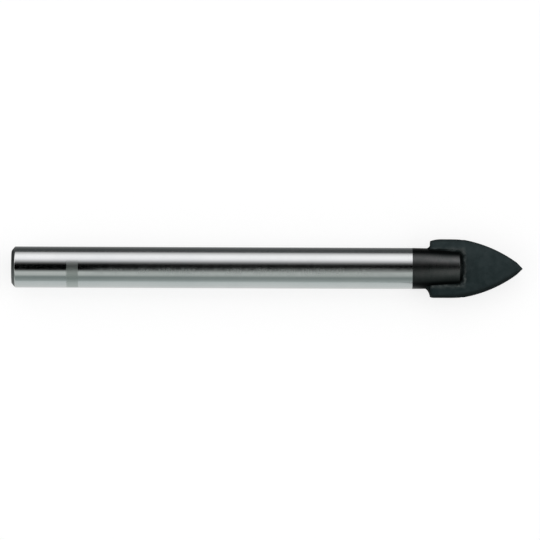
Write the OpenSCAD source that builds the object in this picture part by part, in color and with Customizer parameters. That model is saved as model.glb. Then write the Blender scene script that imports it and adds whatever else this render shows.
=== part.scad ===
// Spear-point drill bit for glass and tile: a ground steel shank with a carbide plate brazed into
// its slotted front end. The bit lies along +X with its point forward. The origin is the centre of
// the shank's rear face, and +Z is normal to the plate. It cuts clockwise, seen from the shank.

/* [Shank] */
// Length from the rear face of the shank to the point
overall_l = 87; // [75:0.5:110]
// Diameter of the shank
shank_d = 7; // [6:0.1:7.6]
// Depth of the rear chamfer along the radius
rear_chamfer_r = 0.75; // [0.3:0.05:1.2]
// Length of the rear chamfer along the axis
rear_chamfer_l = 0.6; // [0.3:0.05:1.2]
// Length of the unground neck behind the plate
neck_l = 3; // [1.5:0.1:8]
// Fall of the neck's radius from the ground barrel to the back of the plate
neck_taper = 0.05; // [0.02:0.01:0.2]
// Fall of the jaws' radius from the back of the plate to their front end
jaw_taper = 0.25; // [0.05:0.05:0.4]
// Chamfer of the slotted front end, along both the radius and the axis
nose_chamfer = 0.55; // [0.2:0.05:0.8]
// Radius that eases the edges of both chamfers
edge_r = 0.25; // [0.1:0.05:0.4]

/* [Carbide tip] */
// Cutting diameter, across the two cylindrical lands
cut_d = 10; // [9.4:0.1:12]
// Thickness of the plate
tip_t = 3; // [2:0.1:3.4]
// Radius of the two curved cutting lips
lip_r = 22; // [18:0.5:30]
// Relief angle of the ground flanks behind the lips
relief = 6; // [3:0.5:10]
// Length of the plate behind its widest section
tail_l = 1.85; // [1:0.05:3]
// Depth to which the plate is let into the shank
seat_l = 5.55; // [4:0.05:7]
// Length of the two facets that thin the point
point_l = 1; // [0.5:0.1:1.6]
// Thickness left between those facets at the point
point_t = 0.6; // [0.3:0.1:1]

/* [Braze] */
// Gap between the plate and its slot, filled with braze
film = 0.1; // [0.05:0.01:0.2]
// Height of the fillet round each jaw, above the face of the plate
jaw_fillet_h = 0.28; // [0.15:0.01:0.4]
// Spread of that fillet over the face of the plate, at the back of the jaw
jaw_fillet_w = 0.15; // [0.1:0.01:0.5]
// Hollow of that fillet, as a share of its chord
jaw_hollow = 0.11; // [0.04:0.01:0.18]
// Length along the shank of the large fillet behind the -Y wing
large_fillet_l = 0.95; // [0.6:0.05:1.5]
// Height of the large fillet up the back of that wing
large_fillet_h = 1.42; // [0.5:0.02:1.44]
// Length along the shank of the small fillet behind the +Y wing
small_fillet_l = 0.5; // [0.3:0.05:1]
// Height of the small fillet up the back of that wing
small_fillet_h = 0.45; // [0.3:0.05:1]
// Hollow of both wing fillets, as a share of their chord
wing_hollow = 0.06; // [0.04:0.01:0.18]

/* [Hidden] */
$fn = 96;

shank_r = shank_d / 2;
// Half the lip-to-lip width at the leading face, so that the land is full at mid-thickness
lip_half = cut_d / 2 + tip_t / 2 * tan(relief);
// Axis of the tilted drum that grinds a flank, at the height of the leading face
lip_axis_y = lip_half - lip_r / cos(relief);
// From the widest section to the chisel edge, where the two flanks meet
nose_l = sqrt(pow(lip_r, 2) - pow(lip_r - cut_d / 2 * cos(relief), 2));
widest_x = overall_l - nose_l;
plate_x = widest_x - tail_l;
shank_l = plate_x + seat_l;
neck_x = plate_x - neck_l;
// Radius at the back of the plate and at the front end of the jaws
seat_r = shank_r - neck_taper;
front_r = seat_r - jaw_taper;
slot_w = tip_t + 2 * film;
// Room for braze on the back of a wing, from the neck to just inside the land
wing_h = cut_d / 2 - film - seat_r;
// Half-width of a jaw's footprint on the face of the plate, at its widest
jaw_half = sqrt(pow(seat_r, 2) - pow(tip_t / 2, 2));
// Half-width of the corner that the jaw's fillet fills, a little inside the leaning side of the jaw
jaw_wall = sqrt(pow(front_r, 2) - pow(tip_t / 2 + jaw_fillet_h, 2)) - film / 2;
// Depth of the stock behind a fillet, which the steel cuts away
stock = 0.8 * nose_chamfer;
// Room that cutting tools take past the surfaces they cut
over = 1;
// Straight steps in each eased edge
arc_steps = 4;

function unit(v) = v / norm(v);
function place(corner) = [corner[0], corner[1]];

// Sides and half-angle of one convex corner of an outline, whose corners are [x, y, radius]
function to_previous(c, i) = unit(place(c[(i + len(c) - 1) % len(c)]) - place(c[i]));
function to_next(c, i) = unit(place(c[(i + 1) % len(c)]) - place(c[i]));
function half_angle(c, i) = acos(to_previous(c, i) * to_next(c, i)) / 2;
function arc_centre(c, i) =
    place(c[i]) + unit(to_previous(c, i) + to_next(c, i)) * c[i][2] / sin(half_angle(c, i));

// Points of the arc that eases a corner, anticlockwise from the side before it to the side after it
function corner_arc(c, i) =
    let (
        start = place(c[i]) + to_previous(c, i) * c[i][2] / tan(half_angle(c, i)) - arc_centre(c, i),
        first = atan2(start[1], start[0]),
        turn = 180 - 2 * half_angle(c, i)
    )
    [
        for (step = [0 : arc_steps])
            let (a = first + turn * step / arc_steps)
            arc_centre(c, i) + c[i][2] * [cos(a), sin(a)]
    ];

// Outline of straight sides with its corners eased by their radius
module eased_outline(c) {
    polygon([for (i = [0 : len(c) - 1]) each c[i][2] > 0 ? corner_arc(c, i) : [place(c[i])]]);
}

// Section of a hollow braze fillet in a square corner, with its legs along x and y and stock at -x
module fillet_section(leg_x, leg_y, hollow) {
    chord = norm([leg_x, leg_y]);
    sag = chord * hollow;
    r = (pow(chord / 2, 2) + pow(sag, 2)) / (2 * sag);
    difference() {
        polygon([[-stock, 0], [leg_x, 0], [0, leg_y], [-stock, leg_y]]);
        translate([leg_x, leg_y] / 2 + [leg_y, leg_x] / chord * (r - sag)) circle(r = r);
    }
}

// The turned and ground rod before its slot is milled
module shank_blank() {
    rear_edge_r = min(edge_r, rear_chamfer_r, rear_chamfer_l);
    nose_edge_r = min(edge_r, nose_chamfer);
    rotate([0, 90, 0])
        rotate_extrude()
            eased_outline([
                [0, 0, 0],
                [shank_r - rear_chamfer_r, 0, rear_edge_r],
                [shank_r, rear_chamfer_l, rear_edge_r],
                [shank_r, neck_x, 0],
                [seat_r, plate_x, 0],
                [front_r, shank_l - nose_chamfer, nose_edge_r],
                [front_r - nose_chamfer, shank_l, nose_edge_r],
                [0, shank_l, 0]
            ]);
}

// The milled slot, a film of braze wider and deeper than the plate
module slot() {
    translate([plate_x - film, -shank_r - over, -slot_w / 2])
        cube([seat_l + film + over, shank_d + 2 * over, slot_w]);
}

// Everything inside one ground flank: a drum that leans back from the +Y lip by the relief angle
module flank_drum() {
    translate([widest_x, lip_axis_y, tip_t / 2])
        rotate([-relief, 0, 0])
            cylinder(r = lip_r, h = 4 * tip_t, center = true);
}

// Side view of the plate, thinned to the point by a facet on each face
module plate_slab() {
    rotate([90, 0, 0])
        linear_extrude(cut_d + over, center = true)
            polygon([
                [plate_x, -tip_t / 2],
                [overall_l - point_l, -tip_t / 2],
                [overall_l, -point_t / 2],
                [overall_l, point_t / 2],
                [overall_l - point_l, tip_t / 2],
                [plate_x, tip_t / 2]
            ]);
}

module shank() {
    color("silver")
        difference() {
            shank_blank();
            slot();
        }
}

module carbide_tip() {
    color("darkslategray")
        intersection() {
            plate_slab();
            flank_drum();
            rotate([180, 0, 0]) flank_drum();
            // The lands, ground round to the cutting diameter
            rotate([0, 90, 0]) cylinder(d = cut_d, h = overall_l + over);
        }
}

// Section of the fillet beside a jaw, whose side leans away from the plate
module jaw_fillet_section() {
    fillet_section(jaw_half - jaw_wall + jaw_fillet_w, jaw_fillet_h, jaw_hollow);
}

// Fillet on the upper face of the plate, along both sides of a jaw and round its front
module jaw_fillet() {
    corner_x = shank_l - nose_chamfer;
    corner_y = jaw_wall - nose_chamfer;
    translate([0, 0, tip_t / 2])
        for (side = [0, 1])
            mirror([0, side, 0]) {
                translate([plate_x - film, jaw_wall, 0])
                    rotate([90, 0, 90])
                        linear_extrude(corner_x - plate_x + film)
                            jaw_fillet_section();
                translate([corner_x, corner_y, 0])
                    rotate_extrude(angle = 90)
                        translate([nose_chamfer, 0])
                            jaw_fillet_section();
                translate([shank_l, corner_y, 0])
                    rotate([90, 0, 0])
                        linear_extrude(corner_y)
                            jaw_fillet_section();
            }
}

// Fillet behind the +Y wing, from the neck up the back of the plate and no higher than its corner
module wing_fillet(along, up) {
    intersection() {
        translate([plate_x, 0, 0])
            rotate([0, -90, 0])
                rotate_extrude()
                    translate([seat_r, 0])
                        fillet_section(min(up, wing_h), along, wing_hollow);
        translate([plate_x - along - over, 0, -tip_t / 2])
            cube([along + over, cut_d, tip_t]);
    }
}

// Braze that fills the slot round the plate and runs out into fillets
module braze() {
    color("dimgray")
        difference() {
            union() {
                intersection() {
                    shank_blank();
                    slot();
                }
                jaw_fillet();
                rotate([180, 0, 0]) jaw_fillet();
                wing_fillet(small_fillet_l, small_fillet_h);
                rotate([180, 0, 0]) wing_fillet(large_fillet_l, large_fillet_h);
            }
            shank();
            carbide_tip();
        }
}

shank();
carbide_tip();
braze();
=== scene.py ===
import math
import bmesh
import bpy
from mathutils import Matrix, Vector, noise


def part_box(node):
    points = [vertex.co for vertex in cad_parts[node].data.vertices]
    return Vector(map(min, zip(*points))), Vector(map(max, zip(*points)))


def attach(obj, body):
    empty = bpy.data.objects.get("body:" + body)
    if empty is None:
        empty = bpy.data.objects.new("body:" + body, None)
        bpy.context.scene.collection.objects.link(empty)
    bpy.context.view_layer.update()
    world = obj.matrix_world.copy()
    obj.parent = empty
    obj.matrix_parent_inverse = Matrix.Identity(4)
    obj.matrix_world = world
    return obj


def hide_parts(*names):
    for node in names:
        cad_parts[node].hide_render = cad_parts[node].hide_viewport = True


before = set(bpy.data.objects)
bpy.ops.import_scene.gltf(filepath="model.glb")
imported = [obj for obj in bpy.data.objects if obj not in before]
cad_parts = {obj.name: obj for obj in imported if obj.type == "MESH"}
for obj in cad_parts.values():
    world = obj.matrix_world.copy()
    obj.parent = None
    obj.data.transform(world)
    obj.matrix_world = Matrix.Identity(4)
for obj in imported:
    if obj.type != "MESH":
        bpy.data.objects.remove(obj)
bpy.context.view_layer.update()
print("frame loaded, nodes:", ", ".join(sorted(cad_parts)))

mm = 0.001
scene = bpy.context.scene

# The bit lies along +X. Its main sizes come from the frame.
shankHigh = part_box("shank")[1]
tipLow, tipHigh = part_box("carbide_tip")
shankRadius = shankHigh.y
shankEnd = shankHigh.x
plateBack = tipLow.x
pointX = tipHigh.x
cutRadius = tipHigh.y
halfThick = tipHigh.z


# Mesh tools

def addPiece(name, points, faces):
    mesh = bpy.data.meshes.new(name)
    mesh.from_pydata(points, [], faces)
    shell = bmesh.new()
    shell.from_mesh(mesh)
    bmesh.ops.recalc_face_normals(shell, faces=shell.faces)
    shell.to_mesh(mesh)
    shell.free()
    piece = bpy.data.objects.new(name, mesh)
    scene.collection.objects.link(piece)
    return piece


# Skin over rings of equal count, with a cap on each end
def loftRings(rings):
    points = [point for ring in rings for point in ring]
    count = len(rings[0])
    faces = []
    for start in range(0, len(points) - count, count):
        for j in range(count):
            k = (j + 1) % count
            faces.append((start + j, start + k, start + count + k, start + count + j))
    faces.append(tuple(range(count)))
    faces.append(tuple(range(len(points) - count, len(points))))
    return points, faces


def addBox(name, low, high):
    rings = [
        [(x, low.y, low.z), (x, high.y, low.z), (x, high.y, high.z), (x, low.y, high.z)]
        for x in (low.x, high.x)
    ]
    return addPiece(name, *loftRings(rings))


# 1 along worn edges, 0 elsewhere
def markEdges(piece, marks):
    layer = piece.data.attributes.new("edge", "FLOAT", "POINT")
    layer.data.foreach_set("value", marks)


def applyModifiers(piece):
    graph = bpy.context.evaluated_depsgraph_get()
    piece.data = bpy.data.meshes.new_from_object(piece.evaluated_get(graph))
    piece.modifiers.clear()


def carve(piece, tool, operation):
    modifier = piece.modifiers.new("carve", "BOOLEAN")
    modifier.operation = operation
    modifier.solver = "EXACT"
    modifier.object = tool
    applyModifiers(piece)
    bpy.data.objects.remove(tool)


def smoothShade(piece, degrees):
    piece.data.shade_smooth()
    piece.data.set_sharp_from_angle(angle=math.radians(degrees))


# Points of a hollow curve from start to end. A pull of 0 gives a straight line, and 1 the deepest hollow.
def bend(start, corner, end, steps, pull=1.0):
    corner = ((start + end) / 2).lerp(corner, pull)
    points = []
    for step in range(steps + 1):
        t = step / steps
        points.append((1 - t) ** 2 * start + 2 * t * (1 - t) * corner + t ** 2 * end)
    return points


# Node tools

def feed(tree, socket, value):
    if isinstance(value, bpy.types.NodeSocket):
        tree.links.new(value, socket)
    else:
        socket.default_value = value


def sums(tree, operation, *values):
    node = tree.nodes.new("ShaderNodeMath")
    node.operation = operation
    for socket, value in zip(node.inputs, values):
        feed(tree, socket, value)
    return node.outputs[0]


def remap(tree, value, low, high, toLow=0.0, toHigh=1.0):
    node = tree.nodes.new("ShaderNodeMapRange")
    node.interpolation_type = "SMOOTHSTEP"
    for socket, number in zip(node.inputs, (value, low, high, toLow, toHigh)):
        feed(tree, socket, number)
    return node.outputs[0]


def mixColours(tree, share, first, second):
    node = tree.nodes.new("ShaderNodeMix")
    node.data_type = "RGBA"
    feed(tree, node.inputs[0], share)
    feed(tree, node.inputs[6], first)  # A and B share their names, so the colour sockets go by number
    feed(tree, node.inputs[7], second)
    return node.outputs[2]


def mixValues(tree, share, first, second):
    node = tree.nodes.new("ShaderNodeMix")
    feed(tree, node.inputs[0], share)
    feed(tree, node.inputs[2], first)
    feed(tree, node.inputs[3], second)
    return node.outputs[0]


def noiseFrom(tree, vector, detail, roughness=0.6):
    node = tree.nodes.new("ShaderNodeTexNoise")
    feed(tree, node.inputs["Vector"], vector)
    node.inputs["Scale"].default_value = 1
    node.inputs["Detail"].default_value = detail
    node.inputs["Roughness"].default_value = roughness
    return node.outputs[0]


# Place on the object, in millimetres
def placeOn(tree):
    where = tree.nodes.new("ShaderNodeTexCoord")
    scaled = tree.nodes.new("ShaderNodeVectorMath")
    scaled.operation = "SCALE"
    scaled.inputs["Scale"].default_value = 1 / mm
    tree.links.new(where.outputs["Object"], scaled.inputs[0])
    return scaled.outputs[0]


def splitAxes(tree, vector):
    node = tree.nodes.new("ShaderNodeSeparateXYZ")
    tree.links.new(vector, node.inputs[0])
    return node.outputs


def joinAxes(tree, x, y, z):
    node = tree.nodes.new("ShaderNodeCombineXYZ")
    for socket, value in zip(node.inputs, (x, y, z)):
        feed(tree, socket, value)
    return node.outputs[0]


# Long side of a right-angled triangle with these two short sides
def longSide(tree, first, second):
    squares = sums(tree, "MULTIPLY_ADD", first, first, sums(tree, "MULTIPLY", second, second))
    return sums(tree, "SQRT", squares)


def addBump(tree, shader, height, depth):
    node = tree.nodes.new("ShaderNodeBump")
    node.inputs["Strength"].default_value = 1
    node.inputs["Distance"].default_value = depth
    feed(tree, node.inputs["Height"], height)
    tree.links.new(node.outputs[0], shader.inputs["Normal"])


def newGroup(name, inputs, outputs):
    tree = bpy.data.node_groups.new(name, "ShaderNodeTree")
    for label, start in inputs.items():
        kind = "NodeSocketVector" if start is None else "NodeSocketFloat"
        socket = tree.interface.new_socket(label, in_out="INPUT", socket_type=kind)
        if start is not None:
            socket.default_value = start
    for label in outputs:
        tree.interface.new_socket(label, in_out="OUTPUT", socket_type="NodeSocketFloat")
    return tree, tree.nodes.new("NodeGroupInput").outputs, tree.nodes.new("NodeGroupOutput").inputs


def useGroup(tree, group, **values):
    node = tree.nodes.new("ShaderNodeGroup")
    node.node_tree = group
    for label, value in values.items():
        feed(tree, node.inputs[label], value)
    return node.outputs


# Fine lines left by a grinding wheel. Place.x runs across the lines.
def makeGrindLines():
    tree, given, put = newGroup("grindLines", {"Place": None, "Pitch": 0.1, "Sweep": 4.0}, ["Lines"])
    x, y, z = splitAxes(tree, given["Place"])
    stretched = joinAxes(
        tree,
        sums(tree, "DIVIDE", x, given["Pitch"]),
        sums(tree, "DIVIDE", y, given["Sweep"]),
        sums(tree, "DIVIDE", z, given["Sweep"]),
    )
    feed(tree, put["Lines"], noiseFrom(tree, stretched, detail=3))
    return tree


# Cloudy patches of the given size, from 0 to 1
def makeMottle():
    tree, given, put = newGroup("mottle", {"Size": 1.0, "From": 0.4, "To": 0.6}, ["Mask"])
    shrunk = tree.nodes.new("ShaderNodeVectorMath")
    shrunk.operation = "SCALE"
    tree.links.new(placeOn(tree), shrunk.inputs[0])
    feed(tree, shrunk.inputs["Scale"], sums(tree, "DIVIDE", 1.0, given["Size"]))
    cloud = noiseFrom(tree, shrunk.outputs[0], detail=5)
    feed(tree, put["Mask"], remap(tree, cloud, given["From"], given["To"]))
    return tree


# Wear along the marked edges, broken up by noise
def makeEdgeWear():
    tree, given, put = newGroup("edgeWear", {"Grain": 0.3, "Amount": 1.0}, ["Mask"])
    edge = tree.nodes.new("ShaderNodeAttribute")
    edge.attribute_name = "edge"
    broken = useGroup(tree, mottle, Size=given["Grain"], From=0.25, To=0.6)["Mask"]
    worn = sums(tree, "MULTIPLY", edge.outputs["Fac"], broken)
    feed(tree, put["Mask"], sums(tree, "MULTIPLY", worn, given["Amount"]))
    return tree


lineRange = (0.3, 0.7)  # most of the noise in the grinding lines lies between these
grindLines = makeGrindLines()
mottle = makeMottle()
edgeWear = makeEdgeWear()
print("shared surface effects built")


def newFinish(name, metallic):
    material = bpy.data.materials.new(name)
    material.use_nodes = True
    shader = material.node_tree.nodes["Principled BSDF"]
    shader.inputs["Metallic"].default_value = metallic
    return material, material.node_tree, shader


# Coordinates of a turned surface: across its lines, then round the axis
def turnedPlace(tree):
    x, y, z = splitAxes(tree, placeOn(tree))
    return joinAxes(tree, sums(tree, "ADD", x, longSide(tree, y, z)), y, z)


# Shank: a turned and ground rod with a milled slot in its front end
shankValues = {
    "sides": 192,
    "rearChamferRadial": 0.75 * mm,
    "rearChamferAxial": 0.6 * mm,
    "neckLength": 3.0 * mm,
    "neckTaper": 0.05 * mm,
    "jawTaper": 0.25 * mm,
    "noseChamfer": 0.55 * mm,
    "edgeRadius": 0.25 * mm,
    "edgeSteps": 6,
    "edgeBorder": 0.08 * mm,
    "longestStep": 2.5 * mm,
    "slotGap": 0.1 * mm,
    "smoothAngle": 32,
}
neckX = plateBack - shankValues["neckLength"]
chamferX = shankEnd - shankValues["noseChamfer"]
seatRadius = shankRadius - shankValues["neckTaper"]
frontRadius = seatRadius - shankValues["jawTaper"]
slotBack = plateBack - shankValues["slotGap"]
slotHalf = halfThick + shankValues["slotGap"]


# Ground barrel of the shank, with one frosted patch. Its rear end is only turned, and darker: its dark
# colour is partly the turned finish and partly painted shade, a painted dark reflection on the rear
# chamfer and end face.
groundValues = {
    "clean": (0.815, 0.825, 0.83, 1),
    "dulled": (0.71, 0.735, 0.74, 1),
    "edge": (0.85, 0.85, 0.84, 1),
    "patch": (0.60, 0.63, 0.615, 1),
    "turnedShadeDark": (0.10, 0.107, 0.105, 1),
    "turnedShadeLight": (0.21, 0.22, 0.218, 1),
    "polish": 0.11,
    "lineRoughness": 0.05,
    "hazeRoughness": 0.045,
    "smearRoughness": 0.15,
    "patchRoughness": 0.36,
    "turnedRoughness": 0.34,
    "turnedBlur": 0.1,
    "turningHeight": 6.0,
    "lineDepth": 0.0005 * mm,
    "dullShare": 0.5,
    # inputs of the shared effects
    "lines": {"Pitch": 0.09, "Sweep": 5.0},
    "turning": {"Pitch": 0.22, "Sweep": 5.0},
    "bands": {"Size": 1.8, "From": 0.1, "To": 0.9},
    "dull": {"Size": 9.0, "From": 0.35, "To": 0.75},
    "wear": {"Grain": 0.4, "Amount": 0.8},
    # start, end and blur, in mm or in radians round the axis
    "hazeX": (17.0, 66.0, 9.0),
    "smearX": (14.0, 66.0, 3.0),
    "smearY": (-1.5, -0.35, 0.3),
    "patchX": (9.4, 11.36, 0.1),
    "patchTurn": (math.radians(-82), math.radians(12), 0.1),
    "smearRise": (0.0, 1.0),  # heights between which the smear fades in
}


# 1 between two values, with a soft edge
def between(tree, value, low, high, blur):
    rise = remap(tree, value, low - blur, low + blur)
    fall = remap(tree, value, high - blur, high + blur, 1.0, 0.0)
    return sums(tree, "MULTIPLY", rise, fall)


def groundSteel(v):
    material, tree, shader = newFinish("ground_steel", 1)
    x, y, z = splitAxes(tree, placeOn(tree))
    turned = turnedPlace(tree)
    lines = useGroup(tree, grindLines, Place=turned, **v["lines"])["Lines"]
    turning = useGroup(tree, grindLines, Place=turned, **v["turning"])["Lines"]
    bands = useGroup(tree, mottle, **v["bands"])["Mask"]
    dull = useGroup(tree, mottle, **v["dull"])["Mask"]
    worn = useGroup(tree, edgeWear, **v["wear"])["Mask"]
    turn = sums(tree, "ARCTAN2", y, z)
    patch = sums(tree, "MULTIPLY", between(tree, x, *v["patchX"]), between(tree, turn, *v["patchTurn"]))
    haze = between(tree, x, *v["hazeX"])
    smear = sums(tree, "MULTIPLY", between(tree, x, *v["smearX"]), between(tree, y, *v["smearY"]))
    smear = sums(tree, "MULTIPLY", smear, sums(tree, "MULTIPLY", bands, remap(tree, z, *v["smearRise"])))
    barrelFrom = shankValues["rearChamferAxial"] / mm
    rear = remap(tree, x, barrelFrom - v["turnedBlur"], barrelFrom, 1.0, 0.0)
    # Painted shade: the rear end's dark colour is partly its turned finish and partly a painted dark
    # reflection
    rearShadeColour = mixColours(tree, remap(tree, turning, *lineRange), v["turnedShadeDark"], v["turnedShadeLight"])
    colour = mixColours(tree, sums(tree, "MULTIPLY", dull, v["dullShare"]), v["clean"], v["dulled"])
    colour = mixColours(tree, patch, colour, v["patch"])
    colour = mixColours(tree, worn, colour, v["edge"])
    feed(tree, shader.inputs["Base Color"], mixColours(tree, rear, colour, rearShadeColour))
    rough = remap(tree, lines, *lineRange, v["polish"], v["polish"] + v["lineRoughness"])
    rough = sums(tree, "ADD", rough, sums(tree, "MULTIPLY", haze, v["hazeRoughness"]))
    rough = sums(tree, "ADD", rough, sums(tree, "MULTIPLY", smear, v["smearRoughness"]))
    rough = mixValues(tree, rear, rough, v["turnedRoughness"])
    feed(tree, shader.inputs["Roughness"], mixValues(tree, patch, rough, v["patchRoughness"]))
    height = mixValues(tree, rear, lines, sums(tree, "MULTIPLY", turning, v["turningHeight"]))
    addBump(tree, shader, height, v["lineDepth"])
    return material


# Neck and jaws, blackened by the heat of brazing, with a painted highlight: grey along their crowns,
# dimmer at the rear of the neck and gone on the nose, and near black as painted shade towards their sides
blackValues = {
    "blackAndShade": (0.010, 0.013, 0.013, 1),
    "crownHighlight": (0.155, 0.152, 0.154, 1),
    "tinted": (0.120, 0.128, 0.127, 1),
    "edge": (0.14, 0.14, 0.14, 1),
    "crownFrom": 1.5,
    "crownTo": 2.9,
    "crownNarrow": 0.5,
    "crownShift": 0.08,
    "rearShare": 0.62,
    "noseShare": 0.02,
    "noseReach": 0.16,
    "noseBlur": 0.22,
    "roughFrom": 0.27,
    "roughTo": 0.32,
    "lineDepth": 0.0003 * mm,
    "lines": {"Pitch": 0.16, "Sweep": 2.5},
    "blotch": {"Size": 1.6, "From": 0.3, "To": 0.7},
    "wear": {"Grain": 0.25, "Amount": 0.06},
}


def blackSteel(v):
    material, tree, shader = newFinish("black_steel", 1)
    lines = useGroup(tree, grindLines, Place=turnedPlace(tree), **v["lines"])["Lines"]
    blotch = useGroup(tree, mottle, **v["blotch"])["Mask"]
    worn = useGroup(tree, edgeWear, **v["wear"])["Mask"]
    x, y, _ = splitAxes(tree, placeOn(tree))
    # Painted highlight and shade: the crown mask paints grey where the jaws catch the light, and their
    # sides and nose are left near black as painted shade
    forward = remap(tree, x, neckX / mm, chamferX / mm)
    offCrown = sums(tree, "ABSOLUTE", sums(tree, "ADD", y, v["crownShift"]))
    aside = sums(tree, "MULTIPLY_ADD", forward, v["crownNarrow"], offCrown)
    crown = remap(tree, aside, v["crownFrom"], v["crownTo"], 1.0, 0.0)
    noseX = chamferX / mm + v["noseReach"]
    nose = remap(tree, x, noseX - v["noseBlur"], noseX, 1.0, v["noseShare"])
    share = mixValues(tree, forward, v["rearShare"], 1.0)
    crownHighlight = sums(tree, "MULTIPLY", crown, sums(tree, "MULTIPLY", share, nose))
    colour = mixColours(tree, crownHighlight, v["blackAndShade"], mixColours(tree, blotch, v["crownHighlight"], v["tinted"]))
    feed(tree, shader.inputs["Base Color"], mixColours(tree, worn, colour, v["edge"]))
    feed(tree, shader.inputs["Roughness"], remap(tree, lines, *lineRange, v["roughFrom"], v["roughTo"]))
    addBump(tree, shader, lines, v["lineDepth"])
    return material


# Sintered carbide, granular on its faces and ground along its flanks. Its colour is painted lighter
# towards +Y, as painted light.
carbideValues = {
    "dark": (0.004, 0.012, 0.013, 1),
    "light": (0.027, 0.040, 0.042, 1),
    "ground": (0.012, 0.018, 0.019, 1),
    "edge": (0.005, 0.009, 0.009, 1),
    "blotch": (0.052, 0.062, 0.061, 1),
    "blotchReach": 0.75,
    "gloss": 0.2,
    "roughFrom": 0.55,
    "roughTo": 0.70,
    "groundRoughness": 0.66,
    "paintedLightShare": 0.42,
    "grainShare": 0.35,
    "grainDepth": 0.004 * mm,
    "flankTilt": (0.2, 0.5),  # upright part of the normal on a flank and on a face
    "cloud": {"Size": 1.7, "From": 0.3, "To": 0.7},
    "grain": {"Size": 0.2, "From": 0.2, "To": 0.8},
    "wear": {"Grain": 0.2, "Amount": 0.75},
    "lines": {"Pitch": 0.07, "Sweep": 3.0},
}


def carbide(v):
    material, tree, shader = newFinish("sintered_carbide", 0)
    shader.inputs["Specular IOR Level"].default_value = v["gloss"]
    x, y, z = splitAxes(tree, placeOn(tree))
    facing = tree.nodes.new("ShaderNodeNewGeometry")
    tilt = sums(tree, "ABSOLUTE", splitAxes(tree, facing.outputs["True Normal"])[2])
    flank = remap(tree, tilt, *v["flankTilt"], 1.0, 0.0)
    cloud = useGroup(tree, mottle, **v["cloud"])["Mask"]
    grain = useGroup(tree, mottle, **v["grain"])["Mask"]
    worn = useGroup(tree, edgeWear, **v["wear"])["Mask"]
    lines = useGroup(tree, grindLines, Place=joinAxes(tree, z, x, y), **v["lines"])["Lines"]
    # Painted light: the plate's colour grows lighter from its -Y side to its +Y side
    paintedLight = remap(tree, y, -cutRadius / mm, cutRadius / mm)
    speckleAndPaintedLight = mixValues(tree, v["paintedLightShare"], mixValues(tree, v["grainShare"], cloud, grain), paintedLight)
    colour = mixColours(tree, speckleAndPaintedLight, v["dark"], v["light"])
    # A lighter colour in blotches on the plate, close beside and ahead of the jaws
    jawSide = math.sqrt(seatRadius ** 2 - halfThick ** 2) / mm
    beside = sums(tree, "MAXIMUM", sums(tree, "SUBTRACT", sums(tree, "ABSOLUTE", y), jawSide), 0.0)
    ahead = sums(tree, "MAXIMUM", sums(tree, "SUBTRACT", x, shankEnd / mm), 0.0)
    away = longSide(tree, beside, ahead)
    blotch = sums(tree, "MULTIPLY", remap(tree, away, 0.0, v["blotchReach"], 1.0, 0.0), cloud)
    colour = mixColours(tree, blotch, colour, v["blotch"])
    colour = mixColours(tree, sums(tree, "MULTIPLY", flank, lines), colour, v["ground"])
    feed(tree, shader.inputs["Base Color"], mixColours(tree, worn, colour, v["edge"]))
    rough = remap(tree, grain, 0.0, 1.0, v["roughFrom"], v["roughTo"])
    feed(tree, shader.inputs["Roughness"], mixValues(tree, flank, rough, v["groundRoughness"]))
    addBump(tree, shader, mixValues(tree, flank, grain, lines), v["grainDepth"])
    return material


# Braze, black against the jaws and greyer where its foot has run out over the plate: the grey is partly
# thin braze and partly a painted highlight. It is painted only at the front and on one side of each jaw,
# -Y on the upper face and its turned-over match on the lower face; the other side stays black as painted
# shade.
brazeFinishValues = {
    "dark": (0.005, 0.008, 0.008, 1),
    "light": (0.070, 0.080, 0.078, 1),
    "thin": (0.030, 0.040, 0.041, 1),
    "metal": 0.1,
    "gloss": 0.05,
    "footHeight": 0.19,
    "footBlur": 0.06,
    "footRagged": 0.14,
    "greyTo": 1.4,
    "blackFrom": 2.4,
    "frontFrom": 2.2,
    "rearFade": 0.5,
    "roughFrom": 0.55,
    "roughTo": 0.70,
    "lumpDepth": 0.006 * mm,
    "ragged": {"Size": 1.1, "From": 0.3, "To": 0.7},
    "cloud": {"Size": 0.8, "From": 0.34, "To": 0.6},
    "lumps": {"Size": 0.35, "From": 0.2, "To": 0.8},
}


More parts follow.
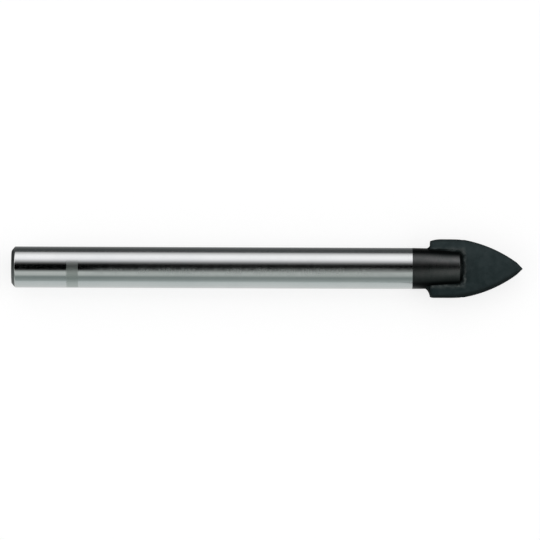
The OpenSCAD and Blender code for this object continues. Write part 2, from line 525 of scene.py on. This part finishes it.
def brazeFinish(v):
    material, tree, shader = newFinish("dull_braze", v["metal"])
    shader.inputs["Specular IOR Level"].default_value = v["gloss"]
    x, y, z = splitAxes(tree, placeOn(tree))
    height = sums(tree, "SUBTRACT", sums(tree, "ABSOLUTE", z), halfThick / mm)
    above = remap(tree, height, -v["footBlur"], 0.0)
    ragged = useGroup(tree, mottle, **v["ragged"])["Mask"]
    wander = sums(tree, "SUBTRACT", ragged, 0.5)  # half up, half down
    border = sums(tree, "ADD", height, sums(tree, "MULTIPLY", wander, v["footRagged"]))
    foot = sums(tree, "MULTIPLY", above, remap(tree, border, 0.0, v["footHeight"], 1.0, 0.0))
    # Painted highlight and shade: the grey foot is kept to the front and to the -Y side of the upper jaw,
    # turned over for the lower one, and the other side is left black
    side = sums(tree, "MULTIPLY", y, sums(tree, "SIGN", z))
    beside = remap(tree, side, v["greyTo"], v["blackFrom"], 1.0, 0.0)
    ahead = remap(tree, x, plateBack / mm + v["frontFrom"], chamferX / mm)
    foot = sums(tree, "MULTIPLY", foot, sums(tree, "MAXIMUM", beside, ahead))
    foot = sums(tree, "MULTIPLY", foot, remap(tree, x, plateBack / mm, plateBack / mm + v["rearFade"]))
    cloud = useGroup(tree, mottle, **v["cloud"])["Mask"]
    lumps = useGroup(tree, mottle, **v["lumps"])["Mask"]
    grey = mixColours(tree, cloud, v["thin"], v["light"])
    feed(tree, shader.inputs["Base Color"], mixColours(tree, foot, v["dark"], grey))
    feed(tree, shader.inputs["Roughness"], remap(tree, lumps, 0.0, 1.0, v["roughFrom"], v["roughTo"]))
    addBump(tree, shader, lumps, v["lumpDepth"])
    return material


steel = groundSteel(groundValues)
blackened = blackSteel(blackValues)
sintered = carbide(carbideValues)
brazed = brazeFinish(brazeFinishValues)
print("finishes built")


# Corners are (x, radius, ease). The result is (x, radius, edge mark).
def easedProfile(corners, steps):
    profile = []
    for i, (x, r, ease) in enumerate(corners):
        here = Vector((x, r))
        if ease == 0:
            profile.append((x, r, 0.0))
            continue
        back = (Vector(corners[i - 1][:2]) - here).normalized()
        ahead = (Vector(corners[i + 1][:2]) - here).normalized()
        half = back.angle(ahead) / 2
        centre = here + (back + ahead).normalized() * ease / math.sin(half)
        first = here + back * ease / math.tan(half) - centre
        last = here + ahead * ease / math.tan(half) - centre
        for step in range(steps + 1):
            spot = centre + first.lerp(last, step / steps).normalized() * ease
            profile.append((spot.x, spot.y, 1.0))
    return profile


# Extra rings: a border beside each end of a straight run, then even steps between
def refineProfile(profile, border, longest):
    fine = [profile[0]]
    shortest = 3 * border  # leaves as much between the two borders as in one
    for (x0, r0, _), end in zip(profile, profile[1:]):
        start = Vector((x0, r0))
        run = Vector(end[:2]) - start
        if run.length > shortest:
            inner = run.length - 2 * border
            count = math.ceil(inner / longest)
            for step in range(count + 1):
                spot = start + run * ((border + inner * step / count) / run.length)
                fine.append((spot.x, spot.y, 0.0))
        fine.append(end)
    return fine


def turnedBlank(name, v):
    corners = [
        (0, 0, 0),
        (0, shankRadius - v["rearChamferRadial"], v["edgeRadius"]),
        (v["rearChamferAxial"], shankRadius, v["edgeRadius"]),
        (neckX, shankRadius, 0),
        (plateBack, seatRadius, 0),
        (chamferX, frontRadius, v["edgeRadius"]),
        (shankEnd, frontRadius - v["noseChamfer"], v["edgeRadius"]),
        (shankEnd, 0, 0),
    ]
    profile = refineProfile(easedProfile(corners, v["edgeSteps"]), v["edgeBorder"], v["longestStep"])
    turns = [2 * math.pi * (j + 0.5) / v["sides"] for j in range(v["sides"])]
    rings = []
    marks = []
    for x, r, mark in profile[1:-1]:
        rings.append([(x, r * math.cos(a), r * math.sin(a)) for a in turns])
        marks += [mark] * v["sides"]
    blank = addPiece(name, *loftRings(rings))
    markEdges(blank, marks)
    return blank


def slotTool():
    reach = 2 * shankRadius
    low = Vector((slotBack, -reach, -slotHalf))
    high = Vector((shankEnd + reach, reach, slotHalf))
    return addBox("slot", low, high)


def makeShank(v):
    shank = turnedBlank("ground_shank", v)
    carve(shank, slotTool(), "DIFFERENCE")
    shank.data.materials.clear()
    shank.data.materials.append(steel)
    shank.data.materials.append(blackened)
    for face in shank.data.polygons:
        face.material_index = 1 if face.center.x > neckX else 0
    smoothShade(shank, v["smoothAngle"])
    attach(shank, "root")
    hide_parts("shank")
    print("shank:", len(shank.data.polygons), "faces")


makeShank(shankValues)

# Carbide plate: two lips ground to an ogive, lands at the full diameter, a thinned point
plateValues = {
    "lipRadius": 22 * mm,
    "relief": math.radians(6),
    "tailLength": 1.85 * mm,
    "pointLength": 1.0 * mm,
    "pointThick": 0.6 * mm,
    "chiselWidth": 0.02 * mm,
    "edgeEase": 0.05 * mm,
    "edgeBorder": 0.40 * mm,
    "easeShare": 0.12,  # most of a side that its ease and its border may take
    "borderShare": 0.25,
    "plusCorner": (0.32 * mm, 1.9 * mm),  # wear of a wing's rear corner: depth, then length
    "minusCorner": (0.15 * mm, 0.5 * mm),
    "easeSteps": 3,
    "sideSteps": 14,
    "stations": 72,
    "pointStations": 16,
    "smoothAngle": 24,
}
widestX = plateBack + plateValues["tailLength"]


# +Y edge of the plate at a station and height: the relieved flank or the round land
def plateEdge(x, z, v):
    lean = math.tan(v["relief"])
    lipHalf = cutRadius + halfThick * lean
    drumAxis = lipHalf - v["lipRadius"] / math.cos(v["relief"])
    along = min(x, pointX - v["chiselWidth"]) - widestX
    flank = drumAxis + (z - halfThick) * lean
    flank += math.sqrt(v["lipRadius"] ** 2 - along ** 2) / math.cos(v["relief"])
    return min(flank, math.sqrt(cutRadius ** 2 - z ** 2))


def plateHalf(x, v):
    thinned = max(0, x - (pointX - v["pointLength"])) / v["pointLength"]
    return halfThick + (v["pointThick"] / 2 - halfThick) * thinned


# Depth of wear at a station near the rear corner of a wing
def cornerWear(x, depth, length):
    return depth * max(0, 1 - (x - plateBack) / length) ** 2


# One eased section of the plate, and its edge marks
def plateRing(x, v, inset=0.0):
    top = plateHalf(x, v) - inset

    def plus(z):
        return plateEdge(x, z, v) - inset - cornerWear(x, *v["plusCorner"])

    def minus(z):
        return inset - plateEdge(x, -z, v) + cornerWear(x, *v["minusCorner"])

    sides = [
        lambda s: Vector((x, minus(top) + s * (plus(top) - minus(top)), top)),
        lambda s: Vector((x, plus(top - 2 * top * s), top - 2 * top * s)),
        lambda s: Vector((x, plus(-top) + s * (minus(-top) - plus(-top)), -top)),
        lambda s: Vector((x, minus(2 * top * s - top), 2 * top * s - top)),
    ]
    lengths = [(side(1) - side(0)).length for side in sides]
    eases = [min(v["edgeEase"] / length, v["easeShare"]) for length in lengths]
    borders = [min((v["edgeEase"] + v["edgeBorder"]) / length, v["borderShare"]) for length in lengths]
    ring = []
    marks = []
    for i, side in enumerate(sides):
        ring.append(side(eases[i]))
        marks.append(1.0)
        for step in range(v["sideSteps"] + 1):
            ring.append(side(borders[i] + (1 - 2 * borders[i]) * step / v["sideSteps"]))
            marks.append(0.0)
        following = (i + 1) % len(sides)
        last = side(1 - eases[i])
        corner = bend(last, side(1), sides[following](eases[following]), v["easeSteps"])[:-1]
        ring += corner
        marks += [1.0] * len(corner)
    return ring, marks


def makePlate(v):
    bodyFrom = plateBack + v["edgeEase"] + v["edgeBorder"]
    facetX = pointX - v["pointLength"]
    count = v["pointStations"]
    stations = [bodyFrom + (facetX - bodyFrom) * i / v["stations"] for i in range(v["stations"])]
    stations += [facetX + v["pointLength"] * i / count for i in range(count + 1)]
    # station, inset and edge mark of the rings that ease the back of the plate
    backRings = [
        (plateBack, v["edgeBorder"] + v["edgeEase"], 0.0),
        (plateBack, v["edgeEase"], 1.0),
        (plateBack + v["edgeEase"], 0.0, 1.0),
    ]
    rings = []
    marks = []
    for x, inset, mark in backRings:
        ring, ringMarks = plateRing(x, v, inset)
        rings.append(ring)
        marks += [mark] * len(ringMarks)
    for x in stations:
        ring, ringMarks = plateRing(x, v)
        rings.append(ring)
        marks += ringMarks
    plate = addPiece("carbide_plate", *loftRings(rings))
    markEdges(plate, marks)
    plate.data.materials.append(sintered)
    smoothShade(plate, v["smoothAngle"])
    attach(plate, "root")
    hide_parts("carbide_tip")
    print("plate:", len(plate.data.polygons), "faces")


makePlate(plateValues)

# Braze: a film in the slot, and a bead that runs round both jaws and up the backs of the wings
brazeValues = {
    "jawHeight": 0.28 * mm,
    "rearHeight": 0.10 * mm,
    "jawSpread": 0.15 * mm,
    "frontSpread": 0.62 * mm,
    "jawPull": 0.6,
    "heightWave": 0.25,
    "heightRate": 2,  # waves of the height for one of the reach
    "reachWave": 0.6,
    "waveLength": 0.9 * mm,
    "root": 0.22 * mm,
    "sink": 0.05 * mm,
    "pathStep": 0.07 * mm,
    "bendSteps": 7,
    "turnSpan": 4,
    "wings": [
        # side, length along the neck, height up the wing, pull of its hollow
        (-1, 0.79 * mm, 1.33 * mm, 0.5),
        (1, 0.5 * mm, 0.45 * mm, 0.26),
    ],
    "wingRows": 18,
    "wingWave": 0.0625,
    "fadeDepth": 0.35,  # thinning of a wing's fillet towards the faces of the plate
    "fadePower": 4,
    "voxel": 0.032 * mm,
    "softness": 0.5,
    "smoothing": 6,
}


def jawRadius(x):
    if x > chamferX:
        return frontRadius - (x - chamferX)
    if x < plateBack:
        return shankRadius + (seatRadius - shankRadius) * (x - neckX) / (plateBack - neckX)
    return seatRadius + (frontRadius - seatRadius) * (x - plateBack) / (chamferX - plateBack)


# Half-width of a jaw at a height above the face of the plate
def jawHalf(x, height=0.0):
    return math.sqrt(jawRadius(x) ** 2 - (halfThick + height) ** 2)


def spread(low, high, step):
    count = math.ceil((high - low) / step)
    return [low + (high - low) * i / count for i in range(count + 1)]


# Footprint of a jaw on the plate: along one side, round the front and back along the other
def jawPath(v):
    half = [Vector((x, jawHalf(x))) for x in spread(slotBack, chamferX, v["pathStep"])]
    half += [Vector((x, jawHalf(x))) for x in spread(chamferX, shankEnd, v["pathStep"])[1:]]
    half += [Vector((shankEnd, y)) for y in spread(0, jawHalf(shankEnd), v["pathStep"])[-2::-1]]
    return half + [Vector((p.x, -p.y)) for p in half[-2::-1]]


# Bead on the upper face (face 1) or, turned over, on the lower one (face -1)
def jawBead(v, face):
    path = jawPath(v)
    rings = []
    for i, foot in enumerate(path):
        before = path[max(0, i - v["turnSpan"])]
        after = path[min(len(path) - 1, i + v["turnSpan"])]
        run = (after - before).normalized()
        out = Vector((-run.y, run.x))
        spot = Vector((foot.x, foot.y, face * shankRadius)) / v["waveLength"]
        room = jawHalf(plateBack) + v["jawSpread"] - abs(foot.y)
        reach = v["frontSpread"] + (min(room, v["frontSpread"]) - v["frontSpread"]) * abs(out.y)
        reach *= 1 + v["reachWave"] * noise.noise(spot)
        forward = min(1, max(0, (foot.x - plateBack) / (chamferX - plateBack)))
        height = v["rearHeight"] + (v["jawHeight"] - v["rearHeight"]) * forward
        height *= 1 + v["heightWave"] * noise.noise(v["heightRate"] * spot)
        lean = abs(out.y) * (jawHalf(min(foot.x, chamferX), height) - jawHalf(min(foot.x, chamferX)))
        toe = Vector((reach, 0))
        top = Vector((lean, height))
        section = [Vector((-v["root"], -v["sink"])), Vector((reach, -v["sink"]))]
        section += bend(toe, Vector((0, 0)), top, v["bendSteps"], v["jawPull"])
        section.append(Vector((lean - v["root"], height)))
        ring = []
        for aside, up in section:
            flat = foot + out * aside
            ring.append((flat.x, face * flat.y, face * (halfThick + up)))
        rings.append(ring)
    return loftRings(rings)


# Fillet behind one wing, from the neck up the back of the plate
def wingBead(v, side, along, up, pull):
    rings = []
    neckRadius = jawRadius(plateBack)
    for row in range(v["wingRows"] + 1):
        z = halfThick * (2 * row / v["wingRows"] - 1)
        fade = math.sqrt(1 - (abs(z) / halfThick) ** v["fadePower"] * v["fadeDepth"])
        rise = up * fade * (1 + v["wingWave"] * noise.noise(Vector((side, 0, z / v["waveLength"]))))
        low = math.sqrt(neckRadius ** 2 - z ** 2)
        high = math.sqrt((neckRadius + rise) ** 2 - z ** 2)
        heel = plateBack - along * fade
        corner = Vector((plateBack, low))
        section = [Vector((plateBack + v["sink"], low - v["root"])), Vector((plateBack + v["sink"], high))]
        section += bend(Vector((plateBack, high)), corner, Vector((heel, low)), v["bendSteps"], pull)
        section.append(Vector((heel, low - v["root"])))
        rings.append([(p.x, side * p.y, z) for p in section])
    return loftRings(rings)


def finishBraze(piece):
    piece.data.materials.clear()
    piece.data.materials.append(brazed)
    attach(piece, "root")
    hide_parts("braze")
    print(piece.name + ":", len(piece.data.polygons), "faces")


# The runs are fused into one rounded bead
def makeBead(v):
    runs = [jawBead(v, 1), jawBead(v, -1)] + [wingBead(v, *wing) for wing in v["wings"]]
    points = []
    faces = []
    for runPoints, runFaces in runs:
        faces += [tuple(len(points) + i for i in face) for face in runFaces]
        points += runPoints
    bead = addPiece("braze_bead", points, faces)
    fuse = bead.modifiers.new("fuse", "REMESH")
    fuse.mode = "VOXEL"
    fuse.voxel_size = v["voxel"]
    soften = bead.modifiers.new("soften", "SMOOTH")
    soften.factor = v["softness"]
    soften.iterations = v["smoothing"]
    applyModifiers(bead)
    bead.data.shade_smooth()
    finishBraze(bead)


def makeFilm():
    film = turnedBlank("braze_film", shankValues)
    carve(film, slotTool(), "INTERSECT")
    reach = Vector((shankRadius, 2 * shankRadius, 0))
    low = Vector((plateBack, -reach.y, -halfThick))
    carve(film, addBox("plate", low, tipHigh + reach), "DIFFERENCE")
    smoothShade(film, shankValues["smoothAngle"])
    finishBraze(film)


makeBead(brazeValues)
makeFilm()

# Camera above, leaning a little to the -Y side, as in the photograph
cameraValues = {
    "distance": 1200 * mm,
    "frameWidth": 91.95 * mm,
    "centreX": 44.0 * mm,
    "centreY": -0.355 * mm,
    "tilt": math.radians(5),
    "roll": math.radians(0.22),
    "sensor": 36.0,
}


def makeCamera(v):
    lens = bpy.data.cameras.new("camera")
    lens.sensor_width = v["sensor"]
    lens.lens = v["sensor"] * v["distance"] / v["frameWidth"]
    camera = bpy.data.objects.new("camera", lens)
    back = Vector((0, -math.sin(v["tilt"]), math.cos(v["tilt"])))
    camera.location = Vector((v["centreX"], v["centreY"], 0)) + v["distance"] * back
    turn = Matrix.Rotation(v["tilt"], 3, "X") @ Matrix.Rotation(v["roll"], 3, "Z")
    camera.rotation_euler = turn.to_euler()
    scene.collection.objects.link(camera)
    scene.camera = camera


makeCamera(cameraValues)

# Studio: white floor, soft lamps, and a graded tent that only the gloss of the bit shows
studioValues = {
    "floorColour": 0.30,
    "floorGlow": 0.75,
    "floorRoughness": 0.9,
    "floorGloss": 0.1,
    "floorSize": 6.0,
    "worldGrey": 0.5,
    "lamps": [
        # name, place, width, height, radiance
        ("key", (0.0, 0.55, 0.75), 1.4, 0.8, 0.55),
        ("rear_fill", (-0.75, -0.1, 0.48), 0.8, 0.8, 1.1),
        ("front_fill", (0.75, -0.1, 0.48), 0.8, 0.8, 1.1),
    ],
    "tentRadius": 0.7,
    "tentStations": (-4.0, 0.085, 0.105, 4.0),
    "tent": [
        # degrees from the camera's side towards +Y, beside the shank and beside the tip, then the colour
        (-91, -91, (0.40, 0.45, 0.44)),
        (-76, -72, (0.27, 0.31, 0.30)),
        (-63, -56, (0.20, 0.235, 0.225)),
        (-54, -38, (0.20, 0.235, 0.225)),
        (-44, -20, (0.46, 0.49, 0.47)),
        (-28, -11, (0.50, 0.53, 0.51)),
        (-14, 4, (0.0, 0.0, 0.0)),
        (15, 19, (0.0, 0.0, 0.0)),
        (24, 29, (0.10, 0.10, 0.10)),
        (46, 48, (0.92, 0.92, 0.93)),
        (58, 58, (1.06, 1.06, 1.06)),
        (70, 72, (1.02, 1.02, 1.02)),
        (79, 82, (0.80, 0.80, 0.80)),
        (90, 90, (0.46, 0.46, 0.46)),
        (95.3, 95.3, (0.16, 0.165, 0.165)),
    ],
    # The skirts glow and only the gloss of the bit shows them: painted reflections of the floor, with
    # painted shade in the dark strips beside +Y, behind the rear end and on the -Y side of the tip
    "skirts": [
        # name, x range, then rows of y and colour, all in mm beside the bit
        ("back_skirt", (-700.0, 700.0), [
            (0.6, (0.40, 0.41, 0.41)),
            (4.8, (0.36, 0.37, 0.37)),
            (7.2, (0.16, 0.165, 0.165)),
            (11.0, (0.085, 0.09, 0.09)),
            (16.0, (0.06, 0.065, 0.065)),
            (250.0, (0.06, 0.065, 0.065)),
            (700.0, (0.18, 0.18, 0.18)),
        ]),
        ("near_skirt", (-700.0, 700.0), [
            (-700.0, (0.40, 0.45, 0.44)),
            (-80.0, (0.50, 0.54, 0.53)),
            (-25.0, (0.53, 0.575, 0.565)),
            (-9.0, (0.58, 0.61, 0.60)),
            (-4.0, (0.66, 0.67, 0.66)),
            (-0.6, (0.66, 0.67, 0.66)),
        ]),
        ("rear_skirt", (-700.0, -0.6), [
            (-9.0, (0.58, 0.61, 0.60)),
            (-4.5, (0.46, 0.48, 0.475)),
            (0.0, (0.10, 0.105, 0.105)),
            (4.0, (0.10, 0.105, 0.105)),
            (7.2, (0.16, 0.165, 0.165)),
        ]),
    ],
    "tipSkirtY": (-700.0, -0.6),
    "tipSkirt": [
        # x in mm and colour: dark close under the tip, a painted shadow and reflection of the plate that
        # only the gloss shows, lighter again farther off
        (68.6, (0.60, 0.615, 0.61)),
        (70.6, (0.04, 0.045, 0.045)),
        (88.0, (0.04, 0.045, 0.045)),
        (105.0, (0.16, 0.17, 0.17)),
        (150.0, (0.42, 0.45, 0.445)),
        (700.0, (0.40, 0.45, 0.44)),
    ],
    "skirtLift": 0.01 * mm,
}


def reflectorPaint():
    paint = bpy.data.materials.new("reflector")
    paint.use_nodes = True
    tree = paint.node_tree
    tree.nodes.clear()
    colour = tree.nodes.new("ShaderNodeAttribute")
    colour.attribute_name = "glow"
    glow = tree.nodes.new("ShaderNodeEmission")
    tree.links.new(colour.outputs["Color"], glow.inputs["Color"])
    tree.links.new(glow.outputs[0], tree.nodes.new("ShaderNodeOutputMaterial").inputs["Surface"])
    return paint


# Grid of cards through rows of (points, colour). Only glossy rays see it.
def addReflector(name, rows, paint):
    points = []
    colours = []
    for row, colour in rows:
        points += row
        colours += [*colour, 1] * len(row)
    span = len(rows[0][0])
    faces = []
    for start in range(0, len(points) - span, span):
        for i in range(start, start + span - 1):
            faces.append((i, i + 1, i + span + 1, i + span))
    card = addPiece(name, points, faces)
    glow = card.data.attributes.new("glow", "FLOAT_COLOR", "POINT")
    glow.data.foreach_set("color", colours)
    card.data.materials.append(paint)
    card.visible_camera = False
    card.visible_diffuse = False
    card.visible_transmission = False
    card.visible_shadow = False


def addLamp(name, place, width, height, radiance):
    lamp = bpy.data.lights.new(name, "AREA")
    lamp.shape = "RECTANGLE"
    lamp.size = width
    lamp.size_y = height
    lamp.energy = radiance * math.pi * width * height
    holder = bpy.data.objects.new(name, lamp)
    middle = Vector((pointX / 2, 0, 0))
    holder.location = middle + Vector(place)
    holder.rotation_euler = (-Vector(place)).to_track_quat("-Z", "Y").to_euler()
    holder.visible_camera = False
    holder.visible_glossy = False
    scene.collection.objects.link(holder)


# 1 for rays that show the background itself, 0 for the light that it gives
def shownRays(tree):
    rays = tree.nodes.new("ShaderNodeLightPath").outputs
    shown = sums(tree, "MAXIMUM", rays["Is Camera Ray"], rays["Is Glossy Ray"])
    return sums(tree, "MAXIMUM", shown, rays["Is Transmission Ray"])


def makeFloor(v, floorZ):
    size = v["floorSize"] / 2
    corners = [(-size, -size, floorZ), (size, -size, floorZ), (size, size, floorZ), (-size, size, floorZ)]
    floor = addPiece("floor", corners, [(0, 1, 2, 3)])
    material, tree, shader = newFinish("white_floor", 0)
    shader.inputs["Base Color"].default_value = (v["floorColour"],) * 3 + (1,)
    shader.inputs["Roughness"].default_value = v["floorRoughness"]
    shader.inputs["Specular IOR Level"].default_value = v["floorGloss"]
    shader.inputs["Emission Color"].default_value = (1, 1, 1, 1)
    feed(tree, shader.inputs["Emission Strength"], sums(tree, "MULTIPLY", shownRays(tree), v["floorGlow"]))
    floor.data.materials.append(material)


def makeWorld(v):
    world = bpy.data.worlds.new("studio")
    world.use_nodes = True
    tree = world.node_tree
    sky = tree.nodes["Background"]
    sky.inputs["Color"].default_value = (1, 1, 1, 1)
    feed(tree, sky.inputs["Strength"], mixValues(tree, shownRays(tree), v["worldGrey"], 1.0))
    scene.world = world


def makeTent(v, paint):
    rows = []
    for shankDegrees, tipDegrees, colour in v["tent"]:
        points = []
        for x, degrees in zip(v["tentStations"], (shankDegrees, shankDegrees, tipDegrees, tipDegrees)):
            turn = math.radians(degrees) - cameraValues["tilt"]
            points.append((x, v["tentRadius"] * math.sin(turn), v["tentRadius"] * math.cos(turn)))
        rows.append((points, colour))
    addReflector("tent", rows, paint)


# Each skirt lies a little above the one before it
def makeSkirts(v, floorZ, paint):
    z = floorZ
    for name, (x0, x1), grades in v["skirts"]:
        z += v["skirtLift"]
        rows = [([(x0 * mm, y * mm, z), (x1 * mm, y * mm, z)], colour) for y, colour in grades]
        addReflector(name, rows, paint)
    z += v["skirtLift"]
    y0, y1 = v["tipSkirtY"]
    rows = [([(x * mm, y0 * mm, z), (x * mm, y1 * mm, z)], colour) for x, colour in v["tipSkirt"]]
    addReflector("tip_skirt", rows, paint)


def makeStudio(v):
    floorZ = -shankRadius
    makeFloor(v, floorZ)
    makeWorld(v)
    for lamp in v["lamps"]:
        addLamp(*lamp)
    paint = reflectorPaint()
    makeTent(v, paint)
    makeSkirts(v, floorZ, paint)


makeStudio(studioValues)

scene.view_settings.view_transform = "Standard"
print("studio and camera set")
